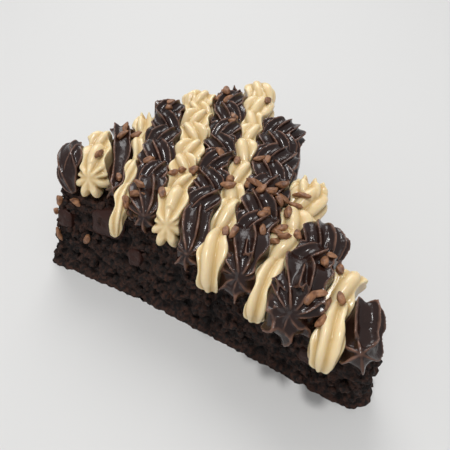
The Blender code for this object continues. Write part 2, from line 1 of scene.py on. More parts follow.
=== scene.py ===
"""Dresses a slice of brownie: piped icing, torn crumb, chopped nibs and chocolate chunks.

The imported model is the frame. Lengths are millimetres, as in the model's own source, and MM
turns them into the scene's metres.
"""

import json
import math

import bmesh
import bpy
import numpy as np
from mathutils import Matrix, Vector
from mathutils.bvhtree import BVHTree
from mathutils.noise import noise, voronoi
from numpy.linalg import norm

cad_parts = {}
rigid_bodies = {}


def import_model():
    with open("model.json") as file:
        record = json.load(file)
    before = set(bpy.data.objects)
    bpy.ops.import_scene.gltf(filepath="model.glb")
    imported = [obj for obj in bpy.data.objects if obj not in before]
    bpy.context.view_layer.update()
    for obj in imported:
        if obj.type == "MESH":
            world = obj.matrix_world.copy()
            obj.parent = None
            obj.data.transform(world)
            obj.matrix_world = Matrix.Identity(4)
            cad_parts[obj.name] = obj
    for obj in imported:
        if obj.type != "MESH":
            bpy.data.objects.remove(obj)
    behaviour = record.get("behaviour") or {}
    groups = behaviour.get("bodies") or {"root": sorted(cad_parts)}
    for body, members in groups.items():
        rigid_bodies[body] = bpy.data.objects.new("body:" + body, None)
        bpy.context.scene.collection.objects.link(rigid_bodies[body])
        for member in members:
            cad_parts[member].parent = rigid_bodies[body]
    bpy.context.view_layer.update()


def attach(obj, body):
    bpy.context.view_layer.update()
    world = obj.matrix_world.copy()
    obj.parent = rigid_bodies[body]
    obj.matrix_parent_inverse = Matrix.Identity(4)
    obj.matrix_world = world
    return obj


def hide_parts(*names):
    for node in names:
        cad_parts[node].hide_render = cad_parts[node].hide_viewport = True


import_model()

MM = 0.001
FULL_TURN = 6.283

# The slice: a sector of a round brownie, sloping down to its tip, wider at its foot.
TIP_Y = -64.0
ROUND_CENTRE_Y = -121.0
ROUND_RADIUS = 184.0
TIP_HALF_WIDTH = 3.5
SIDE_SPREAD = 0.35
CORNER_FLARE = 6.5
FLARE_START_Y = 18.0
FLARE_LENGTH = 38.0
FLARE_LIMIT = 1.2
FLARE_POWER = 1.5
TOP_AT_TIP = 25.0
TOP_AT_BACK = 37.0
SIDE_BATTER = 0.35
END_BATTER = 0.12
BATTER_GROWTH = 90.0
CORNER_BLEND = 2.2
TOP_EDGE_BLEND = 1.3
MIDDLE = np.array([0.0, 18.0])

# Its crumb: broad dents, then lumps (size, height, shift) and pores, over fine rings of points.
CRUMB_DEPTH = 1.7
CRUMB_SIZE = 4.2
FINER_CRUMB = (0.45, 0.6)
DEEPEST_CRUMB = 1.3
LUMPS = ((4.4, 1.3, 0.0), (2.1, 0.8, 9.0))
ROUNDEST_LUMP = 1.2
HOLE_SIZE = 2.8
HOLE_DEPTH = 1.6
HOLES_ABOVE = 0.18
HOLE_RIM = 0.22
GRAIN_SIZE = 0.9
GRAIN_HEIGHT = 0.3
FOOT_SAMPLES = 12000
WALL_STEPS = 760
WALL_RINGS = 62
TOP_RINGS = 30
RIM_DROP = 1.2
TOP_SINK = 0.15
SUMMIT_SINK = 0.4
TOP_SHARES = (0.985, 0.03)
FOOT_ROUGHNESS = 0.3
ROUGHNESS_RISE = 0.1
TOP_ROUGHNESS = 0.4
# No loose crumbs cling to the lowest rings.
BARE_RINGS = 6

# The icing: every row keeps to its own lane, a hair clear of the slice. The gap between lanes is
# negative, because neighbouring rows press into each other.
CLEARANCE = 0.42
LANE_GAP = -0.6
LANE_SOFTNESS = 0.9
FLOOR_SOFTNESS = 1.2
SETTLING_ROUNDS = 3
FLATTEST_SLOPE = 0.05
LANE_WAVE = 0.9
LANE_WAVE_LENGTH = 13.0
LANE_WAVE_SHIFT = 1.9
LANE_BULGE = 0.5
LANE_BULGE_REACH = 7.0
CRESTS = 6
FLUTE_DEPTH = 0.34
BEAD = 1.15
BEAD_SHARE = 0.12
CREASE_ROUNDING = 0.01
LEAF_WIDTH = 1.35
DEEPEST_FLUTE = 0.5
STAR_SIDES = 120
STROKE_STEP = 0.6
FEWEST_RINGS = 6
THINNEST = 0.05
POINT = 0.1
TORN_LENGTH = 5.2
VOXEL = 0.3
PLUMPEST = 8.6
HAND_WOBBLE = 0.28
WOBBLE_LENGTH = 5.0
CREST_BLUR_PASSES = 16
CREST_BLUR = 0.6
CREST_HEIGHT = 0.17

# Each row: kind, start (x, y), end (x, y), half widths (head, body, end), bow to the right, style.
ROWS = (
    ("chocolate", (-44.5, 51.0), (-36.5, 62.0), (5.4, 5.2, 5.2), 0.0, "curl"),
    ("cream", (-38.0, 46.5), (-24.5, 62.0), (7.6, 4.4, 5.0), 0.0, "shells"),
    ("chocolate", (-33.5, 37.5), (-17.0, 63.5), (4.4, 4.6, 4.6), 1.2, "straight"),
    ("cream", (-39.0, 26.7), (-4.5, 63.0), (2.8, 2.1, 5.6), 0.0, "hanging"),
    ("chocolate", (-30.0, 20.0), (7.0, 63.5), (6.0, 6.3, 6.4), 0.0, "leaves"),
    ("cream", (-25.5, 12.5), (21.5, 63.0), (8.2, 5.4, 6.2), 1.4, "shells"),
    ("chocolate", (-25.4, 1.1), (36.0, 59.8), (6.6, 6.4, 6.0), 3.0, "zigzag"),
    ("cream", (-22.5, -10.0), (46.0, 52.0), (6.8, 4.3, 5.6), 0.6, "hanging"),
    ("chocolate", (-17.2, -17.4), (40.2, 31.0), (10.2, 8.6, 6.6), 1.6, "leaves"),
    ("cream", (-16.9, -27.5), (28.5, -1.5), (5.6, 4.8, 7.4), 0.8, "hanging"),
    ("chocolate", (-12.0, -36.0), (14.5, -22.3), (12.2, 8.0, 6.6), 0.0, "leaves"),
    ("cream", (-10.4, -51.0), (9.5, -39.0), (5.2, 4.3, 4.8), 0.0, "hanging"),
    ("chocolate", (-3.2, -57.2), (7.6, -48.2), (6.6, 5.4, 5.2), 0.0, "straight"),
)
# How far a row's star lies to the right of its head's middle, and how much higher.
STAR_SHIFTS = {6: (0.5, -3.0), 8: (0.4, 0.0), 10: (1.5, 0.6)}
HEAD_REACH = 8.0
END_REACH = 12.0

# How each style lays its folds: pitch, overlap, swing to the sides, turn, crests, flute depth.
FOLDS = {
    "hanging": (10.5, 1.8, 0.9, 0.45, 7, 0.27),
    "shells": (8.5, 1.6, 1.0, 0.5, 9, 0.36),
    "zigzag": (9.5, 1.7, 1.7, 0.7, 12, 0.25),
    "leaves": (9.0, 1.75, 1.1, 0.6, 12, 0.25),
}
FIRST_FOLD = 6.5
LAST_FOLD = 12.0
# The hand's unevenness, from fold to fold: size, lift, turn and pitch.
FOLD_SIZES = (0.9, 1.08)
FOLD_LIFTS = (-0.5, 0.9)
FOLD_TURNS = (0.6, 1.3)
FOLD_PITCHES = (0.8, 1.2)
HAND_SEED = 40
TORN_PEAKS = {"chocolate": 3.4, "cream": 3.2}
# A head this wide or wider is also laid farther out and higher.
WIDE_STAR = 7.0
WIDE_FIRST_LEAF = 6.6
WIDE_HEAD_SHIFT = 0.3

# Chocolate chunks set in the sides: side, place along it, height, (length, height, depth). Their
# faces are chipped coarsely and finely (size, depth).
CHUNKS = (
    ("left", 33.5, 28.0, (15.0, 12.5, 6.0)),
    ("left", 50.0, 24.0, (7.0, 8.0, 5.0)),
    ("left", 20.5, 18.5, (6.5, 7.5, 5.0)),
    ("left", -47.0, 15.5, (7.5, 7.0, 5.0)),
    ("right", 22.0, 19.0, (12.0, 9.0, 6.0)),
    ("right", -20.0, 14.0, (8.0, 7.5, 5.0)),
    ("back", -14.0, 17.0, (9.0, 8.0, 5.0)),
)
CHUNK_SQUARENESS = 4
CHUNK_UNEVENNESS = 0.2
CHUNK_SKEW = 0.15
CHUNK_CHIPS = ((1.9, 0.35), (0.6, 0.12))
CHUNK_SINK = 0.9

# Chopped nibs: the middle of each scatter (x, y), how far it spreads, how many.
SCATTERS = (
    ((-16, 57), 6.0, 6), ((2, 59), 3.0, 2), ((-32, 27), 3.5, 4), ((-21, 21), 5.0, 4),
    ((-14, 26), 3.5, 3), ((28, 54), 4.0, 5), ((23, 39), 4.5, 3), ((5, 26), 2.0, 1),
    ((12, 21), 2.0, 1), ((-3, 11), 5.0, 4), ((6, 8), 4.0, 3), ((18, 13), 3.0, 2),
    ((8, -6), 6.0, 12), ((15, -6), 3.0, 3), ((-2, -12), 5.0, 5), ((1, -17), 4.0, 3),
    ((-13, -7), 3.0, 3), ((6, -33), 4.5, 3), ((-7, -42), 4.0, 6), ((41, 43), 1.5, 1),
    ((-32, 49), 2.0, 1), ((-31, 40), 2.0, 1), ((-19, 38), 2.0, 1), ((-7, 25), 2.0, 1),
    ((1, -44), 2.0, 1),
)
# Nibs stuck to the torn sides: side, place along it, height.
SIDE_NIBS = (
    ("left", 53.0, 31.0), ("left", 55.0, 25.0), ("left", 46.5, 33.0), ("left", 51.5, 16.0),
    ("left", 40.0, 19.0), ("right", 47.0, 27.0), ("right", 8.0, 22.0), ("back", 12.0, 26.0),
)
NIB_LENGTH = (3.8, 6.4)
NIB_WIDTH = (2.1, 3.1)
NIB_FLATNESS = 0.85
NIB_SINK = 0.25
NIB_GAP = 0.25
NIB_SHAPES = 6
# A nib that falls too near another, or near a second row, is laid again beside its place.
NIB_TRIES = 9
NIB_SPACING = 0.72
NIB_STEP = 1.6
NIB_STEP_TURN = 2.4
NIB_RETREAT = 0.3
NIB_UPRIGHTNESS = 0.8
SIDE_NIB_HALF = (2.6, 1.3, 1.1)
SIDE_NIB_SINK = 0.3
SIDE_NIB_LEAN = 0.9

# Loose crumbs that cling to the sides.
CRUMBS_PER_CM2 = 9.0
CRUMB_GRAINS = (0.35, 2.0)
SMALL_CRUMBS_FIRST = 4.5

# A chip's flat faces: how many, how far out, how sharp and how worn.
CHIP_FACETS = 13
CHIP_REACH = (1.0, 1.45)
CHIP_SHARPNESS = 14
CHIP_ROUNDING = 0.82

# The camera and what lies around the slice.
CAMERA_PLACE = (-71.97, -85.13, 152.37)
CAMERA_AIM = (4.32, 20.92, 10.0)
LAMP_AIM = (0.0, 0.0, 20.0)
FLOOR_SIZE = 2400.0


# ---- the slice's hull


def smooth_max(values, ease):
    """The greatest of the values, eased where two come close."""
    values = np.stack(values)
    peak = values.max(axis=0)
    return peak + ease * np.log(np.exp((values - peak) / ease).sum(axis=0))


def top_height(y):
    return TOP_AT_TIP + (TOP_AT_BACK - TOP_AT_TIP) * (y - TIP_Y) / (2 * -TIP_Y)


def unit(rows):
    return rows / norm(rows, axis=1, keepdims=True)


def envelope(points):
    """How far each point lies outside the smooth hull of the slice, in mm."""
    x, y, z = points.T
    drop = np.maximum(top_height(y) - z, 0.0)
    side_cos = 1 / math.hypot(1, SIDE_SPREAD)
    half = TIP_HALF_WIDTH + SIDE_SPREAD * (y - TIP_Y)
    widening = np.clip((y - TIP_Y) / BATTER_GROWTH, 0.0, 1.0)
    batter = END_BATTER + (SIDE_BATTER - END_BATTER) * widening
    flare = CORNER_FLARE * np.clip((y - FLARE_START_Y) / FLARE_LENGTH, 0.0, FLARE_LIMIT) ** FLARE_POWER
    left = (-x - half - flare) * side_cos - batter * drop
    right = (x - half) * side_cos - batter * drop
    tip = TIP_Y - y - END_BATTER * drop
    back = np.hypot(x, y - ROUND_CENTRE_Y) - ROUND_RADIUS - END_BATTER * drop
    wall = smooth_max([left, right, tip, back], CORNER_BLEND)
    return smooth_max([wall, z - top_height(y)], TOP_EDGE_BLEND)


def envelope_slope(points):
    """Which way the envelope rises at each point, and how fast."""
    step = 0.05
    rises = [envelope(points + shift) - envelope(points - shift) for shift in step * np.eye(3)]
    return np.column_stack(rises) / (2 * step)


def softened(distance, gap, softness):
    """Distances under gap + softness are eased so that none falls under the gap."""
    near = gap + softness * np.exp(np.minimum(distance - gap - softness, 0.0) / softness)
    return np.where(distance < gap + softness, near, distance)


def lay_on_slice(points):
    """Lifts points that lie in the slice, or too near to it, off its hull."""
    for _ in range(SETTLING_ROUNDS):
        outside = envelope(points)
        slope = envelope_slope(points)
        size = np.maximum((slope**2).sum(axis=1, keepdims=True), FLATTEST_SLOPE)
        target = np.maximum(softened(outside, CLEARANCE, FLOOR_SOFTNESS), outside)
        points = points + slope / size * (target - outside)[:, None]
    return points


# ---- the rows' lanes


def row_axes(row):
    """A row's start, its directions along and to the right, and its length."""
    start, end = np.array(row[1]), np.array(row[2])
    length = float(norm(end - start))
    along = (end - start) / length
    return start, along, np.array([along[1], -along[0]]), length


def row_width(row, share):
    """A row's half width at a share of its length: wider or narrower at its head and end."""
    head, body, end = row[3]
    length = row_axes(row)[3]
    near = np.exp(-((share * length / HEAD_REACH) ** 2))
    far = np.exp(-(((1 - share) * length / END_REACH) ** 2))
    return body + (head - body) * near + (end - body) * far


def bulge_past(run, one_end, two_end):
    """Where only one of two neighbours runs on, its edge swells into the other's lane."""
    past = np.clip(run - min(one_end, two_end), 0.0, LANE_BULGE_REACH)
    return LANE_BULGE * past * (1.0 if one_end > two_end else -1.0)


def edge_offset(index, xy):
    """Signed distance to the right of the edge between rows index and index + 1, and its normal."""
    one, two = ROWS[index], ROWS[index + 1]
    starts, ends = np.array([one[1], two[1]]), np.array([one[2], two[2]])
    low, high = starts.mean(axis=0), ends.mean(axis=0)
    length = norm(high - low)
    along = (high - low) / length
    normal = np.array([along[1], -along[0]])
    run = (xy - low) @ along
    share = np.clip(run / length, 0.0, 1.0)
    pitch = (starts[1] - starts[0]) @ normal * (1 - share) + (ends[1] - ends[0]) @ normal * share
    width = row_width(one, share)
    place = (width / (width + row_width(two, share)) - 0.5) * pitch
    bow = 2 * (one[4] + two[4]) * share * (1 - share)
    wave = LANE_WAVE * np.sin(2 * math.pi * run / LANE_WAVE_LENGTH + LANE_WAVE_SHIFT * index)
    bulge = bulge_past(run, *((ends - low) @ along))
    return (xy - low) @ normal - place - bow - wave - bulge, normal


def keep_in_lane(points, index):
    """Eases points back from the edges that their row shares with its neighbours."""
    xy = points[:, :2].copy()
    for edge, side in ((index, -1), (index - 1, 1)):
        if 0 <= edge < len(ROWS) - 1:
            offset, normal = edge_offset(edge, xy)
            kept = softened(side * offset, LANE_GAP, LANE_SOFTNESS)
            xy += normal * (side * kept - offset)[:, None]
    return np.column_stack([xy, points[:, 2]])


def settle_icing(points, index):
    """Keeps a row's points in its lane and clear of the slice."""
    return keep_in_lane(lay_on_slice(keep_in_lane(points, index)), index)


# ---- strokes of the piping bag


def smooth_path(way, count):
    """A Catmull-Rom curve through the waypoints, read at equal steps."""
    way = np.array(way, float)
    ends = np.vstack([2 * way[0] - way[1], way, 2 * way[-1] - way[-2]])
    spans = len(way) - 1
    out = []
    for place in np.linspace(0, spans, count):
        span = min(int(place), spans - 1)
        t = place - span
        a, b, c, d = ends[span : span + 4]
        bend, skew = 2 * a - 5 * b + 4 * c - d, 3 * b - a - 3 * c + d
        out.append(0.5 * (2 * b + (c - a) * t + bend * t**2 + skew * t**3))
    return np.array(out)


def flute(angle, crests, radius, petals):
    """The nozzle's teeth, 0 on a crest and 1 between two: thin beads, or soft petals with creases."""
    if petals:
        return 1 - np.sqrt(np.cos(crests * angle / 2) ** 2 + CREASE_ROUNDING)
    wave = np.sin(crests * angle / 2) ** 2
    bead = min((crests * max(BEAD, BEAD_SHARE * radius) / (4 * radius)) ** 2, 1.0)
    return wave * (1 + bead) / (wave + bead)


def torn_tips(angle, turned, crests, peak, late):
    """How far each point of a torn ring is pulled on: the crests on top most, the creases back."""
    upper = np.clip(0.25 + np.sin(turned), 0, 1)
    tips = (0.5 + 0.5 * np.cos(crests * angle)) * upper
    return (peak * late**1.5 * (tips - 0.25))[:, None]


def tube_faces(count, sides=STAR_SIDES):
    """The faces of a tube of count rings, closed by a point at each end."""
    faces = []
    last_ring = 1 + (count - 1) * sides
    for side in range(sides):
        other = (side + 1) % sides
        for base in range(1, last_ring, sides):
            a, b = base + side, base + other
            faces.append((a, b, b + sides, a + sides))
        faces.append((0, 1 + other, 1 + side))
        faces.append((last_ring + sides, last_ring + side, last_ring + other))
    return faces


def stroke(
    row, way, crests=CRESTS, depth=FLUTE_DEPTH, turn=(0.0, 0.0), peak=0.0, petals=False, wide=1.0
):
    """A fluted tube in a row. Each waypoint is (along, across, above the slice, radius, sag).

    It starts at a point, where its crests meet, and ends in one, past which the crests reach
    by peak. It is wider than it is high by the factor wide.
    """
    start, along, across, length = row_axes(row)
    way = np.array(way, float)
    run = norm(np.diff(way[:, :3], axis=0), axis=1).sum()
    count = max(FEWEST_RINGS, int(run / STROKE_STEP) + 1)
    path = smooth_path(way, count)
    share = np.clip(path[:, 0] / length, 0, 1)
    side = path[:, 1] + 4 * row[4] * share * (1 - share)
    centre = np.empty((count, 3))
    centre[:, :2] = start + path[:, :1] * along + side[:, None] * across
    centre[:, 2] = top_height(centre[:, 1]) + path[:, 2]
    tangent = unit(np.gradient(centre, axis=0))
    level = unit(np.cross(tangent, (0, 0, 1.0)))
    upward = np.cross(level, tangent)

    angle = np.linspace(0, 2 * math.pi, STAR_SIDES, endpoint=False)
    twist = np.linspace(*turn, count)
    widest = path[:, 3].max()
    torn = TORN_LENGTH / STROKE_STEP
    points = [centre[0]]
    for ring in range(count):
        radius, sag = max(path[ring, 3], THINNEST), path[ring, 4]
        turned = angle + twist[ring] + math.pi / 2
        down = np.clip(-np.sin(turned), 0, 1) ** 1.5
        cut = min(depth * math.sqrt(widest / radius), DEEPEST_FLUTE)
        reach = radius * (1 - cut * flute(angle, crests, radius, petals)) * (1 + sag * down)
        ring_points = (
            centre[ring]
            + (wide * reach * np.cos(turned))[:, None] * level[ring]
            + (reach * np.sin(turned))[:, None] * upward[ring]
        )
        if peak and ring >= count - torn:
            late = (ring - count + torn + 1) / torn
            pulled = tangent[ring] + 0.4 * upward[ring]
            ring_points += torn_tips(angle, turned, crests, peak, late) * pulled
        points.extend(ring_points)
    points.append(centre[-1] - tangent[-1] * (0.6 * peak))
    return np.array(points), tube_faces(count)


def flower(radius, sag=0.3, aside=0.0, lift=0.0):
    """The first blob over the slice's edge, whose crests meet in a star that faces outwards."""
    out = WIDE_HEAD_SHIFT * max(radius - WIDE_STAR, 0.0)
    lift += out
    return [
        (-3.8 - out, aside, 8.4 + lift, POINT, sag),
        (-3.1 - out, 0.85 * aside, 7.3 + lift, 0.48 * radius, sag),
        (-1.8 - out, 0.4 * aside, 5.4 + lift, 0.84 * radius, sag),
        (1.4, 0, 3.8 + lift, 1.02 * radius, 0.7 * sag),
        (5.4, 0, 4.2 + lift, 0.96 * radius, 0.2 * sag),
    ]


def leaf(begin, radius, length, across, swing, lift):
    """One overlapping fold: a pointed tail, low in the row, swells to a round head over the next."""
    return [
        (begin, across - swing, 3.4, POINT, 0),
        (begin + 0.12 * length, across - swing, 4.0, 0.50 * radius, 0),
        (begin + 0.40 * length, across - 0.4 * swing, 4.9 + 0.6 * lift, 0.86 * radius, 0),
        (begin + 0.72 * length, across + 0.6 * swing, 6.0 + lift, 1.02 * radius, 0),
        (begin + 0.93 * length, across + swing, 6.6 + lift, 0.80 * radius, 0),
        (begin + 1.02 * length, across + swing, 6.4 + lift, POINT, 0),
    ]


def first_leaf(radius, length, aside=0.0, lift=0.0):
    """The fold that grows out of the head's star and lies over it."""
    out = WIDE_HEAD_SHIFT * max(radius - WIDE_FIRST_LEAF, 0.0)
    lift += out
    return [
        (-3.8 - out, aside, 8.4 + lift, POINT, 0),
        (-2.4 - out, 0.9 * aside, 7.9 + lift, 0.38 * radius, 0),
        (0.30 * length - 2.5, 0.5 * aside, 6.5 + 0.8 * lift, 0.78 * radius, 0),
        (0.65 * length - 1.0, 0.4, 6.2 + 0.3 * lift, 0.98 * radius, 0),
        (0.90 * length, 0.6, 6.3, 0.78 * radius, 0),
        (1.00 * length, 0.6, 6.0, POINT, 0),
    ]


def core(length, radius):
    """The body of icing that runs below a row's folds."""
    return [
        (0.5, 0, 2.6, POINT, 0),
        (2.0, 0, 2.8, 0.70 * radius, 0),
        (length * 0.5, 0, 3.0, 0.80 * radius, 0),
        (length - 5.0, 0, 3.0, 0.62 * radius, 0),
        (length - 1.5, 0, 2.8, POINT, 0),
    ]


def last_peak(length, radius):
    """The lifted end, where the crests are torn off in points."""
    return [
        (length - 11, 0, 4.2, POINT, 0),
        (length - 9.5, 0, 4.4, 0.75 * radius, 0),
        (length - 5.5, 0, 4.6, 0.92 * radius, 0),
        (length - 1.8, 0, 5.6, 0.84 * radius, 0),
        (length - 0.2, 0, 6.9, 0.62 * radius, 0),
    ]


def plump(half_width):
    """A stroke's radius: enough that neighbouring rows press against each other."""
    return min(1.12 * half_width + 0.7, PLUMPEST)


def straight_strokes(row, head_radius, radius, length):
    """A row drawn in one pull, with its beads along it."""
    way = flower(head_radius) + [
        (length * 0.55, 0, 4.9, radius, 0),
        (length - 5.0, 0, 5.4, radius, 0),
        (length - 1.5, 0, 6.0, radius * 0.95, 0),
        (length + 0.3, 0, 6.6, radius * 0.80, 0),
    ]
    return [stroke(row, way, turn=(0.25, 0.45), depth=0.36, peak=1.4, wide=1.15)]


def curl_strokes(row, head_radius, radius, length):
    """A short row that is one twisted blob with a lip curled over it."""
    blob = [
        (-4.5, 0.5, 0.6, POINT, 0),
        (-3.2, 0.3, 1.6, 0.60 * head_radius, 0),
        (0.5, 0, 3.4, 1.05 * head_radius, 0),
        (length * 0.40, -0.6, 6.0, radius, 0),
        (length * 0.75, -0.6, 7.6, radius * 0.85, 0),
        (length, 0.2, 8.2, radius * 0.5, 0),
        (length + 1.4, 0.6, 7.6, POINT, 0),
    ]
    lip = leaf(-1.5, radius * 0.85, 12.0, 0.8, 3.6, 2.2)
    return [stroke(row, blob, 6, 0.26, (0.0, 1.5)), stroke(row, lip, 6, 0.28, (0.2, 2.0), peak=1.5)]


def head_strokes(index, radius):
    """The strokes that start a row: a hanging end, or a star with the first fold over it."""
    row = ROWS[index]
    head_radius, style = row[3][0], row[5]
    if style == "hanging":
        tip_radius = plump(head_radius)
        way = [
            (-4.6, 0, -2.4, POINT, 0),
            (-4.3, 0, -1.4, 0.42 * tip_radius, 0),
            (-3.4, 0, 0.7, 0.74 * tip_radius, 0),
            (-1.8, 0, 2.6, 0.94 * tip_radius, 0),
            (1.5, 0, 3.8, 1.04 * tip_radius, 0),
            (6.0, 0, 4.6, tip_radius, 0),
            (13.0, 0.4, 4.4, 0.85 * radius, 0),
            (16.0, 0.4, 3.6, POINT, 0),
        ]
        return [stroke(row, way, 8, 0.3, (0.0, 0.5), petals=True)]
    if style == "shells":
        star = flower(head_radius, 0.15) + [(10.5, 0, 3.8, 0.6 * radius, 0), (12.5, 0, 3.4, POINT, 0)]
        grown = first_leaf(0.92 * head_radius, 12.5)
        return [
            stroke(row, star, 7, 0.5, petals=True),
            stroke(row, grown, 8, 0.34, petals=True, wide=LEAF_WIDTH),
        ]
    shift = STAR_SHIFTS.get(index, (0.0, 0.0))
    star = flower(head_radius, 0.12, *shift)
    star += [(11.0, 0, 4.0, 0.7 * radius, 0), (13.5, 0, 3.4, POINT, 0)]
    grown = first_leaf(0.94 * max(head_radius, radius), 15.0, *shift)
    return [
        stroke(row, star, 7, 0.28, (0.0, 1.3)),
        stroke(row, grown, 10, 0.25, (0.0, 0.8), wide=LEAF_WIDTH),
    ]


def row_strokes(index):
    """Every stroke of a row: the body, the head, the folds and the torn end."""
    row = ROWS[index]
    kind, style = row[0], row[5]
    head_radius, radius, end_radius = row[3][0], plump(row[3][1]), plump(row[3][2])
    length = row_axes(row)[3]
    if style == "straight":
        return straight_strokes(row, head_radius, radius, length)
    if style == "curl":
        return curl_strokes(row, head_radius, radius, length)

    soft = kind == "cream"
    strokes = [stroke(row, core(length, radius), depth=0.1, wide=1.8), *head_strokes(index, radius)]
    pitch, overlap, swing, turn, crests, depth = FOLDS[style]
    rng = np.random.default_rng(HAND_SEED + index)
    place, side = FIRST_FOLD, 1.0
    while place < length - LAST_FOLD:
        size = radius * rng.uniform(*FOLD_SIZES)
        way = leaf(place, size, pitch * overlap, 0.0, side * swing, rng.uniform(*FOLD_LIFTS))
        twist = side * turn * rng.uniform(*FOLD_TURNS)
        strokes.append(stroke(row, way, crests, depth, (twist, -twist), petals=soft, wide=LEAF_WIDTH))
        place += pitch * rng.uniform(*FOLD_PITCHES)
        side = -side
    end = last_peak(length, end_radius)
    strokes.append(stroke(row, end, 8, 0.32, (0.1, 0.5), TORN_PEAKS[kind], soft))
    return strokes


# ---- meshes and objects


def mesh_from(name, points, faces):
    mesh = bpy.data.meshes.new(name)
    mesh.from_pydata([tuple(p * MM) for p in points], [], faces)
    mesh.update()
    return mesh


def mesh_of(work, name):
    mesh = bpy.data.meshes.new(name)
    work.to_mesh(mesh)
    work.free()
    return mesh


def add_object(name, data):
    obj = bpy.data.objects.new(name, data)
    bpy.context.scene.collection.objects.link(obj)
    return obj


def dress(obj, material):
    obj.data.materials.clear()
    obj.data.materials.append(material)
    obj.data.shade_smooth()
    return obj


def store(mesh, name, values, kind="FLOAT"):
    """Keeps a value for each point of a mesh, for finishes and node trees to read."""
    field = "vector" if kind == "FLOAT_VECTOR" else "value"
    values = np.ravel(values).astype(np.int32 if kind == "INT" else np.float32)
    mesh.attributes.new(name, kind, "POINT").data.foreach_set(field, values)


def settled(obj):
    """Swaps an object's mesh for what its modifiers make of it."""
    graph = bpy.context.evaluated_depsgraph_get()
    result = bpy.data.meshes.new_from_object(obj.evaluated_get(graph))
    obj.modifiers.clear()
    obj.data = result
    return obj


def read(items, field, width=3, kind=float):
    values = np.empty(len(items) * width, kind)
    items.foreach_get(field, values)
    return values.reshape(-1, width)


def move_to(mesh, places):
    mesh.vertices.foreach_set("co", places.ravel())
    mesh.update()


def biggest_body(mesh):
    """Keeps the outer skin alone: drops scraps and sealed hollows."""
    ends = read(mesh.edges, "vertices", 2, int)
    label = np.arange(len(mesh.vertices))
    while True:
        lowest = label.copy()
        np.minimum.at(lowest, ends[:, 0], label[ends[:, 1]])
        np.minimum.at(lowest, ends[:, 1], label[ends[:, 0]])
        lowest = lowest[lowest]
        if (lowest == label).all():
            break
        label = lowest
    keep = np.bincount(label).argmax()
    work = bmesh.new()
    work.from_mesh(mesh)
    scraps = [vert for vert, body in zip(work.verts, label) if body != keep]
    bmesh.ops.delete(work, geom=scraps, context="VERTS")
    work.to_mesh(mesh)
    work.free()


def fuse(obj):
    """Melts overlapping strokes into one skin."""
    remesh = obj.modifiers.new("fuse", "REMESH")
    remesh.mode = "VOXEL"
    remesh.voxel_size = VOXEL * MM
    settled(obj)
    biggest_body(obj.data)


def soften(obj, factor, passes):
    smooth = obj.modifiers.new("soften", "SMOOTH")
    smooth.factor = factor
    smooth.iterations = passes
    settled(obj)


def mark_crests(mesh):
    """Stores how far each point stands out of its surroundings: 0 in a crease, 1 on a crest."""
    ends = read(mesh.edges, "vertices", 2, int)
    both = np.concatenate([ends, ends[:, ::-1]])
    links = np.maximum(np.bincount(both[:, 0], minlength=len(mesh.vertices)), 1)
    places = read(mesh.vertices, "co") / MM
    blurred = places
    for _ in range(CREST_BLUR_PASSES):
        sums = [np.bincount(both[:, 0], blurred[both[:, 1], axis], len(links)) for axis in range(3)]
        around = np.column_stack(sums) / links[:, None]
        blurred = (1 - CREST_BLUR) * blurred + CREST_BLUR * around
    height = ((places - blurred) * read(mesh.vertices, "normal")).sum(axis=1)
    store(mesh, "crest", np.clip(0.5 + 0.5 * height / CREST_HEIGHT, 0, 1))


def wobble(mesh):
    """The small unevenness of a hand that squeezes a bag."""
    places = read(mesh.vertices, "co")
    for place, normal in zip(places, read(mesh.vertices, "normal")):
        spot = Vector(place / (WOBBLE_LENGTH * MM))
        place += normal * HAND_WOBBLE * MM * noise(spot)
    move_to(mesh, places)


def pipe_row(index, name, material):
    """Pipes one row: its strokes melted into one skin, kept in its lane and on the slice."""
    points, faces = [], []
    for stroke_points, stroke_faces in row_strokes(index):
        base = len(points)
        points.extend(settle_icing(stroke_points, index))
        faces.extend(tuple(base + corner for corner in face) for face in stroke_faces)
    obj = add_object(name, mesh_from(name, np.array(points), faces))
    fuse(obj)
    wobble(obj.data)
    move_to(obj.data, settle_icing(read(obj.data.vertices, "co") / MM, index) * MM)
    fuse(obj)
    soften(obj, 0.5, 4)
    mark_crests(obj.data)
    return dress(obj, material)


# ---- the baked crumb


def wall_ring(directions, share):
    """Where the hull stands in each direction from its middle, at a share of its own height."""
    farthest, halvings = 140.0, 40
    low, high = np.zeros(len(directions)), np.full(len(directions), farthest)
    for _ in range(halvings):
        middle = (low + high) / 2
        xy = MIDDLE + directions * middle[:, None]
        spots = np.column_stack([xy, share * (top_height(xy[:, 1]) - RIM_DROP)])
        inside = envelope(spots) < 0
        low, high = np.where(inside, middle, low), np.where(inside, high, middle)
    return spots


def crumb_dent(spot, broad):
    """How deep the crumb is torn at a spot: dents, round lumps, holes and grain."""
    place = Vector(spot)
    finer, share = FINER_CRUMB
    rough = noise(place / CRUMB_SIZE) + share * noise(place / (CRUMB_SIZE * finer))
    dent = CRUMB_DEPTH * broad * min(max(0.5 + rough, 0.0), DEEPEST_CRUMB)
    for size, height, shift in LUMPS:
        near = voronoi(place / size + Vector((shift, 0, 0)))[0][0]
        dent += broad * height * min(near * near * 1.6, ROUNDEST_LUMP)
    hollow = noise(place / HOLE_SIZE + Vector((7, 3, 5)))
    dent += broad * HOLE_DEPTH * min(max((hollow - HOLES_ABOVE) / HOLE_RIM, 0.0), 1.0)
    return dent + GRAIN_HEIGHT * noise(place / GRAIN_SIZE)


def crumbled(ring, broad, floor):
    """Tears a ring of the hull inwards, and gives how deep each of its points went."""
    outward = unit(envelope_slope(ring))
    if floor:
        outward[:, 2] = 0
    dents = np.array([crumb_dent(spot, broad) for spot in ring])
    ring -= outward * dents[:, None]
    ring[:, 2] = np.maximum(ring[:, 2], 0.0)
    return dents


